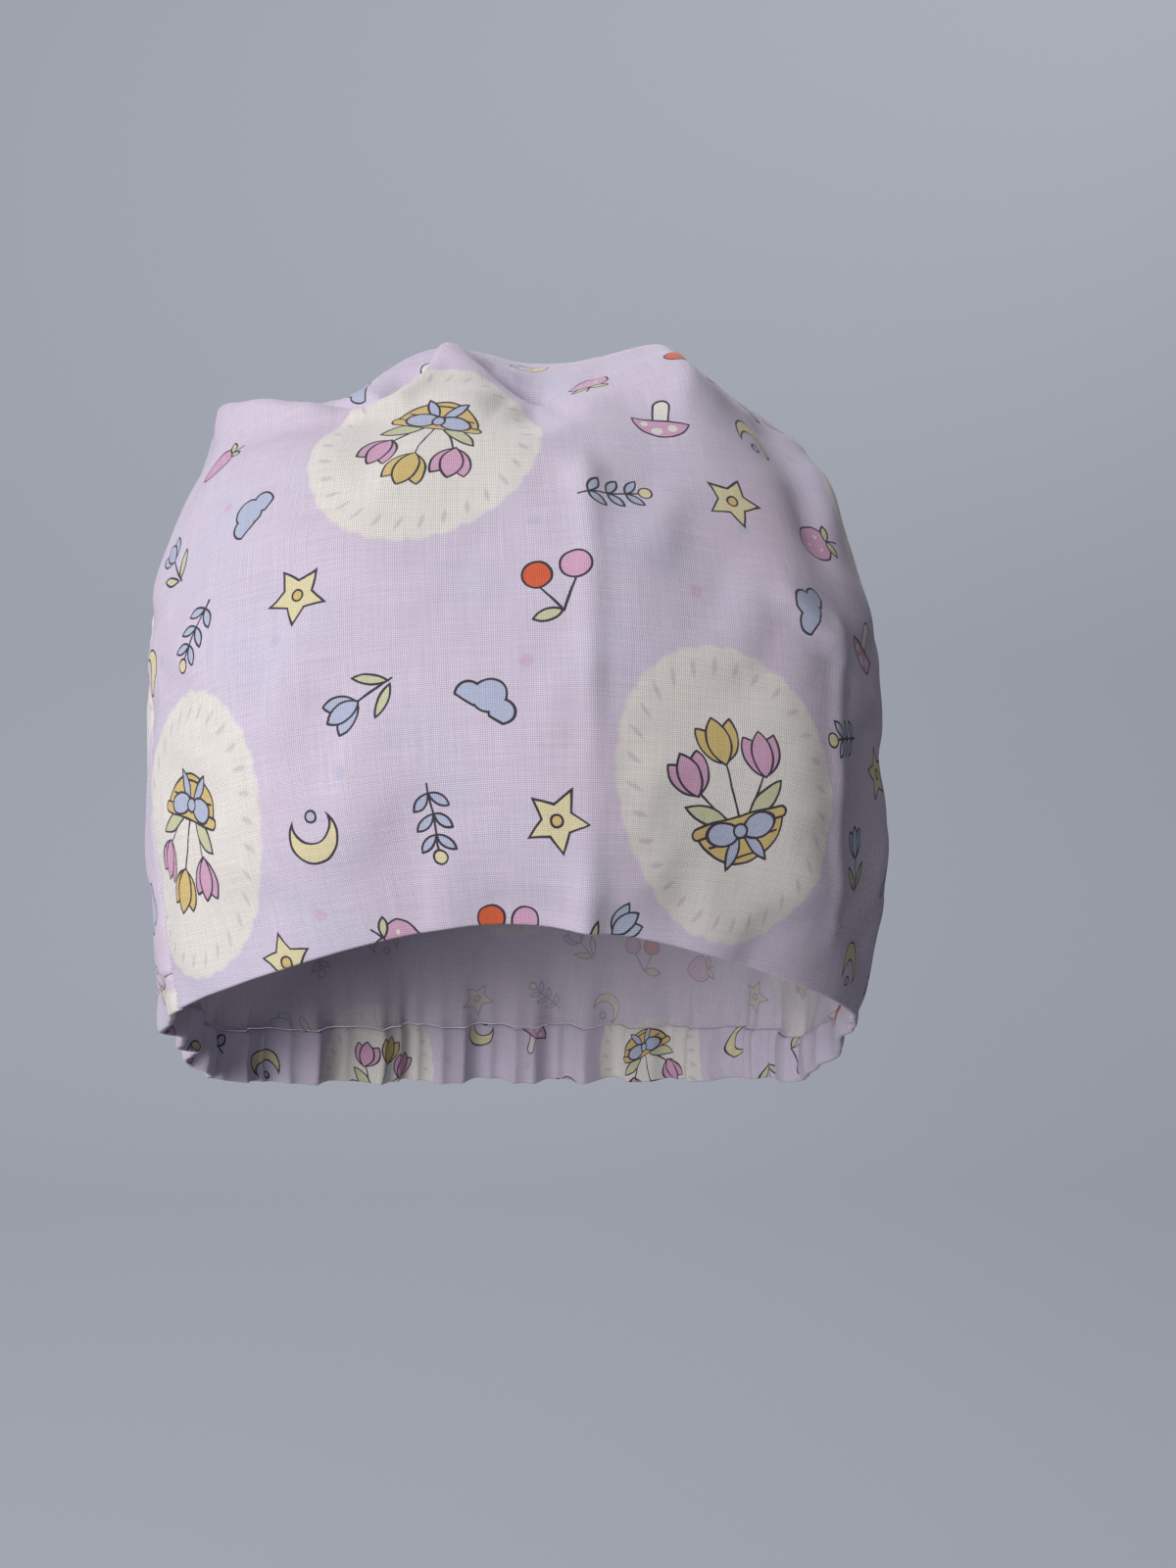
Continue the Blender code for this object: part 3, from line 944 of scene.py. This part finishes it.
def mixedGround(tree, place):
    # Lavender that drifts to blue and to pink, with a few faint dots in pink or blue
    drift = noiseOf(place, ground["driftScale"], ground["driftDetail"])
    blueShare = drift.math("MULTIPLY_ADD", ground["contrast"], -ground["blueFrom"], clamp=True)
    pinkShare = drift.math("MULTIPLY_ADD", -ground["contrast"], ground["pinkFrom"], clamp=True)
    colour = plain(tree, inks["ground"]).mixed(inks["groundBlue"], blueShare)
    colour = colour.mixed(inks["groundPink"], pinkShare)
    cell, local = latticeCell(place.vector("ADD", (*dots["offset"], 0.0)), dots["pitch"])
    chance, shift = scattered(cell, dots)
    distance = local.vector("ADD", shift).vector("LENGTH") - dots["radius"]
    dot = distance.math("MULTIPLY_ADD", -dots["sharpness"], 0.5, clamp=True) * dots["strength"]
    ink = plain(tree, inks["pink"]).mixed(inks["blue"], chance.math("GREATER_THAN", 0.5))
    return colour.mixed(ink, dot)


def ovalPlace(place):
    # Place in the nearest oval's own frame, turned by its own angle, and its chance
    cell, local = latticeCell(place, ovals["pitch"])
    chance = randomOf(cell, ovals["seed"])[0]
    return local.turned(chance.math("MULTIPLY_ADD", 2 * ovals["tilt"], -ovals["tilt"])), chance


def withOvals(tree, hand, line, colour):
    # Cream ovals with a wavy edge, a rim of small leaves, and the posy, half of them upside down
    local, chance = ovalPlace(hand)
    wide, high = ovals["radii"]
    pen = Pen(local, colour, line)
    body = pen.oval((0.0, 0.0), (wide, high))
    x, y = local.vector("MULTIPLY", (1 / wide, 1 / high, 0.0)).parts()[:2]
    around = x.math("ARCTAN2", y) * (ovals["rimTicks"] / (2 * np.pi))
    tick = around.math("WRAP", 0.5, -0.5)
    scallop = (tick * tick).math("MULTIPLY_ADD", ovals["edgeWave"], body)
    pen.fill(scallop, "cream", ovals["edgeSharpness"])
    onRim = joined(tree, tick * (2 * np.pi * wide / ovals["rimTicks"]), body + ovals["rimInset"])
    rim = Pen(onRim, pen.colour, line)
    rim.fill(rim.leaf(*ovals["rimLeaf"]), "rim", ovals["rimSharpness"])
    posyPlace = local.turned(chance.math("GREATER_THAN", 0.5) * np.pi)
    posy = motifGroup("posy", drawPosy)
    return useGroup(tree, posy, Place=posyPlace, Under=rim.colour, Line=line)["Colour"]


def withMotifs(tree, hand, line, colour):
    # Small motifs, one to a cell and turned by its chance, none near an oval
    cell, local = latticeCell(hand, tossed["pitch"])
    chance, shift = scattered(cell, tossed)
    centre = hand.vector("SUBTRACT", local).vector("ADD", shift)
    room = Pen(ovalPlace(centre)[0], colour, line).oval((0.0, 0.0), ovals["radii"])
    blocked = room.math("LESS_THAN", tossed["keepClear"])
    turned = local.vector("SUBTRACT", shift).turned(chance * (2 * np.pi))
    column, row = cell.parts()[:2]
    kind = column.math("MULTIPLY_ADD", tossed["order"][0], row * tossed["order"][1])
    kind = kind.math("FLOORED_MODULO", float(len(smallMotifs)))
    far = tossed["outOfSight"]
    for index, (name, draw) in enumerate(smallMotifs.items()):
        chosen = kind.math("COMPARE", float(index), 0.5)
        moved = turned.vector("ADD", (chosen - blocked).math("MULTIPLY_ADD", -far, far))
        motif = motifGroup(name, draw)
        colour = useGroup(tree, motif, Place=moved, Under=colour, Line=line)["Colour"]
    return colour


def makePrint():
    tree, given, sink = newGroup("tossedPrint", {"Place": "vector"}, {"Colour": "colour"})
    place = given["Place"]
    drift = noiseOf(place, drawnLine["wobbleScale"], 1.0, "Color").vector("SUBTRACT", (0.5, 0.5, 0.5))
    hand = drift.vector("MULTIPLY_ADD", (drawnLine["wobble"], drawnLine["wobble"], 0.0), place)
    line = drift.parts()[2].math("MULTIPLY_ADD", drawnLine["change"], drawnLine["half"])
    colour = withOvals(tree, hand, line, mixedGround(tree, place))
    feed(tree, sink.inputs["Colour"], withMotifs(tree, hand, line, colour))
    return tree


# Plain weave of fine yarn. Lengths in millimetres, but height and crumple in metres.
weave = {
    "pitch": 0.39,
    "height": 0.00006,
    # painted shade: the colour darkens where the yarn is low, in the gaps and at the yarns' sides
    "holeShade": 0.65,
    "meanHeight": 0.75,                # height of the yarn that keeps the print's own tone
    "uneven": 0.16,
    "unevenScale": 1.3,
    "slubShade": 0.20,
    "slubScales": (2.2, 0.07),         # across a yarn and along it
    "crumple": 0.00022,
    "crumpleScale": 0.11,
}


def makeWeave():
    # Warp |sin pi a| (1 + c) / 2 over weft |sin pi b| (1 - c) / 2, with c = sin pi a sin pi b
    tree, given, sink = newGroup("plainWeave", {"Place": "vector"}, {"Height": "value", "Shade": "value"})
    place = given["Place"]
    drift = noiseOf(place, weave["unevenScale"], 0.0, "Color")
    uneven = drift.vector("MULTIPLY_ADD", (weave["uneven"], weave["uneven"], 0.0), place)
    warp, weft = ((part * (np.pi / weave["pitch"])).math("SINE") for part in uneven.parts()[:2])
    over = warp * weft
    warpTop = warp.math("ABSOLUTE") * over.math("MULTIPLY_ADD", 0.5, 0.5)
    weftTop = weft.math("ABSOLUTE") * over.math("MULTIPLY_ADD", -0.5, 0.5)
    height = warpTop.math("MAXIMUM", weftTop)
    fine, coarse = weave["slubScales"]
    slubUp = noiseOf(place.vector("MULTIPLY", (fine, coarse, 0.0)), 1.0)
    slubAcross = noiseOf(place.vector("MULTIPLY", (coarse, fine, 0.0)), 1.0)
    slub = (slubUp + slubAcross).math("MULTIPLY_ADD", weave["slubShade"], 1.0 - weave["slubShade"])
    # Shade: painted shade where the yarn is low, times the slubs' own tone
    darkest = 1.0 - weave["holeShade"] * weave["meanHeight"]
    soft = noiseOf(place, weave["crumpleScale"], 2.0)
    feed(tree, sink.inputs["Height"], soft * weave["crumple"] + height * weave["height"])
    feed(tree, sink.inputs["Shade"], height.math("MULTIPLY_ADD", weave["holeShade"], darkest) * slub)
    return tree


printGroup = makePrint()
weaveGroup = makeWeave()
print("print and weave ready:", sum(len(group.nodes) for group in bpy.data.node_groups), "nodes")

cotton = {
    "sockets": {"Roughness": 0.88, "Specular IOR Level": 0.25, "Sheen Weight": 0.12, "Sheen Roughness": 0.5},
    "wrongSideHides": 0.62,            # how far the print is hidden on the wrong side
    "frontShift": (30.0, 12.0),        # place of each panel in the print, in millimetres
    "backShift": (75.0, -20.0),
}


def inMillimetres(tree, metres):
    return Field(tree, metres).vector("SCALE", 1000.0)


def cottonMaterial(name, shift, hiding=0.0):
    # The print and weave at the cloth's flat place; hiding mixes the print with the wrong side's tone
    material, tree, shader = newMaterial(name, cotton["sockets"])
    uvNode = tree.nodes.new("ShaderNodeUVMap")
    uvNode.uv_map = "flat"
    place = inMillimetres(tree, uvNode.outputs["UV"])
    colour = useGroup(tree, printGroup, Place=place.vector("ADD", (*shift, 0.0)))["Colour"]
    if hiding:
        colour = colour.mixed(inks["wrong"], hiding)
    woven = useGroup(tree, weaveGroup, Place=place)
    # the print is multiplied by the weave's painted shade, darker where the yarn is low
    feed(tree, shader.inputs["Base Color"], colour.mixed(woven["Shade"], 1.0, "MULTIPLY"))
    bump = tree.nodes.new("ShaderNodeBump")
    for label, value in {"Strength": 1.0, "Distance": 1.0, "Height": woven["Height"]}.items():
        feed(tree, bump.inputs[label], value)
    tree.links.new(bump.outputs["Normal"], shader.inputs["Normal"])
    return material


frontCotton = cottonMaterial("frontCotton", cotton["frontShift"])
frontWrongSide = cottonMaterial("frontWrongSide", cotton["frontShift"], cotton["wrongSideHides"])
backCotton = cottonMaterial("backCotton", cotton["backShift"])
backWrongSide = cottonMaterial("backWrongSide", cotton["backShift"], cotton["wrongSideHides"])

threadLook = {
    "colour": paint(206, 194, 216),
    "sockets": {"Roughness": 0.55},
    "twist": 9.0,                      # radians in a millimetre
    "shade": 0.9,
    # painted shade in the grooves between the plies
    "plyShade": 0.08,
}


def threadMaterial():
    # Polyester thread: two twisted plies, drawn as a wave of painted shade along the stitch
    look = threadLook
    material, tree, shader = newMaterial("thread", look["sockets"])
    coordinates = tree.nodes.new("ShaderNodeTexCoord")
    x, y, z = inMillimetres(tree, coordinates.outputs["Object"]).parts()
    twist = ((x + y + z) * look["twist"]).math("SINE")
    shade = twist.math("MULTIPLY_ADD", look["plyShade"], look["shade"])
    feed(tree, shader.inputs["Base Color"], plain(tree, look["colour"]).mixed(shade, 1.0, "MULTIPLY"))
    return material


# Front panel: one sheet of cotton, rolled round its lower edge
frontPanel = {
    "columns": 220,
    "rows": 150,
    "cloth": 0.00045,
    "rollRadius": 0.00055,
    "rollRows": 8,
    "turnUp": 0.0007,
}


def rolledEdge(points, flat, look):
    # Half a turn about the lower edge: c - n r cos f - u r sin f, then a short way up inside
    radius = look["rollRadius"]
    up = unit(points[1] - points[0])
    inward = squareTo(up, -outwards(points[0]))
    centre = points[0] + inward * radius
    turn = np.linspace(0.0, np.pi, look["rollRows"])[1:, None, None]
    rolled = centre - inward * radius * np.cos(turn) - up * radius * np.sin(turn)
    inside = centre + inward * radius + up * look["turnUp"]
    added = np.concatenate([rolled, inside[None]])
    runs = np.concatenate([turn * radius, [[[np.pi * radius + look["turnUp"]]]]])
    addedFlat = flat[0] + unit(flat[0] - flat[1]) * runs
    return np.concatenate([added[::-1], points]), np.concatenate([addedFlat[::-1], flat])


def makeFrontPanel():
    look = frontPanel
    across = closeEnded(look["columns"], -1.0, 1.0)
    lowest = shareAboveEdge(0.0, look["rollRadius"])
    shares = closeEnded(look["rows"], lowest, 1.0, ends=(False, True))
    points = turnedIn(gridOf(frontSurface, across, shares), sideSeams + crownSeam)
    points, flat = rolledEdge(points, flatOf(frontFlat, across, shares, 0.0), look)
    piece = clothObject("front_panel_cloth", points, flat, look["cloth"], [frontCotton, frontWrongSide])
    size, area = flatSize(flat)
    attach(piece, "root")
    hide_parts("front_panel")
    print("front panel made, flat size", size)


makeFrontPanel()


# Turned hem: the cloth goes on up inside the front edge, its raw edge rolled under
turnedHem = {
    "columns": 200,
    "rows": 14,
    "cloth": 0.00045,
    "endGap": 0.0030,
    "clearance": 0.00005,              # above the end of the panel's rolled edge
    "upperRoll": 0.0005,
    "rollTurn": 0.8 * np.pi,
    "rollRows": 6,
    "rollSquash": 0.8,
}


def makeTurnedHem():
    # Inside the panel by two roll radii, with its columns reversed so that it faces inwards
    look = turnedHem
    limit = 1.0 - look["endGap"] / capSize["halfWidth"]
    across = np.linspace(-limit, limit, look["columns"])
    start = shareAboveEdge(0.0, frontPanel["rollRadius"] + frontPanel["turnUp"] + look["clearance"])
    shares = np.linspace(start, hemTop, look["rows"])
    outer = gridOf(frontSurface, across, shares)[:, ::-1]
    out = outwards(outer)
    points = outer - out * 2 * frontPanel["rollRadius"]
    # on the pattern it is the panel's lower end, turned over about the edge
    edge = flatOf(frontFlat, across, np.array([0.0]), 0.0)
    flat = (2 * edge - flatOf(frontFlat, across, shares, 0.0))[:, ::-1]
    # the upper edge rolls back towards the panel: u r sin f + n squash r (1 - cos f)
    radius = look["upperRoll"]
    up = unit(points[-1] - points[-2])
    turn = np.linspace(0.0, look["rollTurn"], look["rollRows"])[1:, None, None]
    aside = out[-1] * radius * (1 - np.cos(turn)) * look["rollSquash"]
    points = np.concatenate([points, points[-1] + aside + up * radius * np.sin(turn)])
    flat = np.concatenate([flat, flat[-1] + unit(flat[-1] - flat[-2]) * turn * radius])
    piece = clothObject("front_hem_cloth", points, flat, look["cloth"], [frontCotton, frontWrongSide])
    size, area = flatSize(flat)
    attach(piece, "root")
    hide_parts("front_hem")
    print("turned hem made, flat size", size)


makeTurnedHem()


# Back panel: from the crown and side seams down to the casing
backPanel = {"columns": 300, "rows": 130, "cloth": 0.00045, "casingSeam": 0.8}


def makeBackPanel():
    look = backPanel
    across = closeEnded(look["columns"], -1.0, 1.0)
    shares = closeEnded(look["rows"], casingTop, 1.0)
    seamEdges = sideSeams + crownSeam + [(0, False, look["casingSeam"])]
    points = turnedIn(gridOf(backSurface, across, shares), seamEdges)
    flat = flatOf(backFlat, across, shares, casingTop)
    piece = clothObject("back_panel_cloth", points, flat, look["cloth"], [backCotton, backWrongSide])
    size, area = flatSize(flat)
    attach(piece, "root")
    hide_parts("back_panel")
    print("back panel made, flat size", size)


makeBackPanel()


# Nape casing: a flat tube of cloth round the elastic
napeCasing = {
    "columns": 420,
    "around": 34,
    "cloth": 0.00045,
    "halfThickness": 0.0013,
    "endThickness": 0.35,              # share of the thickness at the two ends
    "endRun": 0.006,
    "roundness": 0.55,                 # 1 is an oval section, less is a flatter one
    "inset": 0.00032,
    "patternStep": 0.02,               # height share over which the pattern's way down is read
}


def makeNapeCasing():
    # A section (casing width (1 + cos t) / 2 up, half (1 - puff) in), puff = |sin t|^roundness with its sign
    look = napeCasing
    across = closeEnded(look["columns"], -1.0, 1.0)
    turn = np.linspace(0.0, 2 * np.pi, look["around"])[::-1]
    shares = casingTop * (1 + np.cos(turn)) / 2
    outer = turnedIn(gridOf(backSurface, across, shares), sideSeams)
    ends = clamped((1 - np.abs(across)) * capSize["halfWidth"] * 2 / look["endRun"])
    opening = look["endThickness"] + (1 - look["endThickness"]) * np.sin(ends * np.pi / 2)
    puff = np.sign(np.sin(turn)) * np.abs(np.sin(turn)) ** look["roundness"]
    depth = look["halfThickness"] * opening * (1 - puff[:, None]) + look["inset"]
    points = outer - outwards(outer) * depth[..., None]
    # on the pattern it goes on below the back panel, round the fold and up inside
    top, above = flatOf(backFlat, across, np.array([casingTop, casingTop + look["patternStep"]]), casingTop)
    run = runFromEnd(points, 0, True)
    flat = top + unit(top - above) * run[..., None]
    piece = clothObject("nape_casing_cloth", points, flat, look["cloth"], [backCotton])
    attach(piece, "root")
    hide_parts("nape_casing")


makeNapeCasing()


# Stitches that close the casing, one row outside and one inside
stitching = {
    "length": 0.0021,
    "pitch": 0.0028,
    "radius": 0.00017,
    "below": 0.0014,                   # the casing's upper edge
    "sunk": 0.0003,
    "insideDepth": 0.86,               # share of the casing's thickness
    "reach": 0.985,                    # share of the way to each seam
    "places": 900,
    "sides": 6,
    "rings": 5,
    "bow": 0.6,                        # lift of a stitch's middle, in radii
    "tip": 0.02,
}


def readAt(values, run, places):
    return np.stack([np.interp(places, run, column) for column in values.T], axis=-1)


def stitchRow(line, out):
    # Spindles: middle + h s ahead + r (bow - s^2) lift, radius r sqrt(1 - s^2), with s from -1 to 1
    look = stitching
    run = runAlong(line)
    middles = np.arange(look["pitch"], run[-1] - look["pitch"], look["pitch"])
    half = look["length"] / 2
    ahead = unit(readAt(line, run, middles + half) - readAt(line, run, middles - half))
    lift = squareTo(ahead, readAt(out, run, middles))
    side = np.cross(ahead, lift)
    ahead, lift, side = (lines[:, None, None] for lines in (ahead, lift, side))
    s = np.linspace(-1.0, 1.0, look["rings"])[:, None, None]
    a = np.linspace(0.0, 2 * np.pi, look["sides"], endpoint=False)[:, None]
    centre = readAt(line, run, middles)[:, None, None] + ahead * (s * half)
    centre = centre + lift * (look["radius"] * (look["bow"] - s**2))
    radius = look["radius"] * np.sqrt(np.maximum(1 - s**2, look["tip"]))
    points = centre + (np.cos(a) * lift + np.sin(a) * side) * radius
    corner = numbered(*points.shape[:3])
    quads = quadsOf(np.concatenate([corner, corner[..., :1]], axis=-1))
    return points.reshape(-1, 3), quads, np.concatenate([corner[:, 0, ::-1], corner[:, -1]])


def makeStitches():
    look = stitching
    across = np.linspace(-look["reach"], look["reach"], look["places"])
    share = shareAboveEdge(np.pi, capSize["casingWidth"] - look["below"])
    line = gridOf(backSurface, across, np.array([share]))[0]
    out = outwards(line)
    outside = line - out * look["sunk"]
    inside = line - out * (2 * napeCasing["halfThickness"] * look["insideDepth"])
    points, quads, caps = stitchRow(outside, out)
    morePoints, moreQuads, moreCaps = stitchRow(inside, -out)
    faces = quads.tolist() + caps.tolist()
    faces += (moreQuads + len(points)).tolist() + (moreCaps + len(points)).tolist()
    piece = newPiece("casing_stitches", np.concatenate([points, morePoints]), faces, [threadMaterial()])
    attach(piece, "root")
    print("casing stitched:", len(piece.data.polygons), "faces")


makeStitches()


# Studio: pale floor and backdrop in one sweep, soft light from the front left
studio = {
    "floor": -0.52,
    "wallAt": 1.10,
    "sweep": 0.45,
    "sweepSteps": 24,
    "width": 9.0,
    "nearEnd": -4.5,
    "wallTop": 4.0,
    "airLeft": paint(150, 152, 160),   # dim light from all round, less of it from the right
    "airRight": paint(72, 69, 68),
    "seenAir": paint(176, 180, 190),   # what shows past the paper
    "paper": {
        "Base Color": paint(150, 154, 162),
        "Roughness": 0.95,
        "Emission Color": paint(112, 115, 123),   # only the camera sees this glow, and it lights nothing
    },
}


def makeBackdrop():
    # Floor, quarter circle and wall: z = floor + r (1 - cos t), y = wall - r (1 - sin t)
    look = studio
    t = np.linspace(0.0, np.pi / 2, look["sweepSteps"])
    y = look["wallAt"] - look["sweep"] * (1 - np.sin(t))
    z = look["floor"] + look["sweep"] * (1 - np.cos(t))
    y = np.concatenate([[look["nearEnd"]], y, [look["wallAt"]]])
    z = np.concatenate([[look["floor"]], z, [look["wallTop"]]])
    x = look["width"] * np.array([-0.5, 0.5])
    points = np.stack(np.broadcast_arrays(x, y[:, None], z[:, None]), axis=-1)
    material, tree, shader = newMaterial("paper", look["paper"])
    seen = tree.nodes.new("ShaderNodeLightPath")
    tree.links.new(seen.outputs["Is Camera Ray"], shader.inputs["Emission Strength"])
    newPiece("backdrop", points, quadsOf(numbered(*points.shape[:2])).tolist(), [material])


makeBackdrop()

capMiddle = (0.0, 0.0, 0.02)
lights = {
    "key": {"kind": "AREA", "place": (-0.78, -0.94, 0.40), "aim": capMiddle, "power": 16.0,
            "colour": (1.0, 0.985, 0.96), "size": 0.8},
    "fill": {"kind": "AREA", "place": (0.95, -0.70, 0.25), "aim": capMiddle, "power": 0.3,
             "colour": (1.0, 0.90, 0.84), "size": 1.2},
    "top": {"kind": "AREA", "place": (-0.10, 0.35, 1.10), "aim": capMiddle, "power": 3.4,
            "colour": (0.97, 0.98, 1.0), "size": 0.9},
    "paper": {"kind": "AREA", "place": (0.80, 0.35, 0.92), "aim": (0.62, 1.10, 0.62), "power": 3.0,
              "colour": (1.0, 1.0, 1.0), "size": 0.6},
    "back": {"kind": "SPOT", "place": (0.25, 0.80, 0.60), "aim": capMiddle, "power": 17.0,
             "colour": (1.0, 1.0, 1.0), "shadow_soft_size": 0.20, "spot_size": np.radians(42.0),
             "spot_blend": 1.0},
}
for lightName, look in lights.items():
    light = bpy.data.lights.new(lightName, look["kind"])
    light.energy = look["power"]
    light.color = look["colour"]
    for setting in ("size", "shadow_soft_size", "spot_size", "spot_blend"):
        if setting in look:
            setattr(light, setting, look[setting])
    lamp = linked(lightName, light)
    lamp.location = look["place"]
    ahead = Vector(look["aim"]) - lamp.location
    lamp.rotation_euler = ahead.to_track_quat("-Z", "Y").to_euler()

world = bpy.data.worlds.new("studioAir")
world.use_nodes = True
airTree = world.node_tree
rays = airTree.nodes.new("ShaderNodeLightPath")
directions = airTree.nodes.new("ShaderNodeTexCoord")
toRight = (Field(airTree, directions.outputs["Generated"]).parts()[0] + 1.0) * 0.5
air = plain(airTree, studio["airLeft"]).mixed(studio["airRight"], toRight)
air = air.mixed(studio["seenAir"], Field(airTree, rays.outputs["Is Camera Ray"]))
feed(airTree, airTree.nodes["Background"].inputs["Color"], air)
bpy.context.scene.world = world
bpy.context.scene.view_settings.view_transform = "Standard"
print("studio lit")


# The photograph's view: a phone's wide lens, close by and a little above the hem
photoView = {
    "place": (-0.006, -0.311, 0.075),
    "yaw": np.radians(4.609),
    "pitch": np.radians(12.425),
    "roll": np.radians(1.756),
    "lens": 27.0,
    "sensor": 36.0,
    "nearest": 0.01,
}


def makeCamera():
    # Forward (sin y cos p, cos y cos p, -sin p); right and up then turned by the roll
    look = photoView
    yaw, pitch, roll = look["yaw"], look["pitch"], look["roll"]
    forward = Vector((np.sin(yaw) * np.cos(pitch), np.cos(yaw) * np.cos(pitch), -np.sin(pitch)))
    right = Vector((np.cos(yaw), -np.sin(yaw), 0.0))
    up = right.cross(forward)
    rolledRight = right * np.cos(roll) + up * np.sin(roll)
    rolledUp = up * np.cos(roll) - right * np.sin(roll)
    data = bpy.data.cameras.new("photoCamera")
    data.lens = look["lens"]
    data.sensor_width = look["sensor"]
    data.clip_start = look["nearest"]
    camera = linked("photoCamera", data)
    turned = Matrix((rolledRight, rolledUp, -forward)).transposed().to_4x4()
    camera.matrix_world = Matrix.Translation(look["place"]) @ turned
    bpy.context.scene.camera = camera


makeCamera()
print("camera placed")
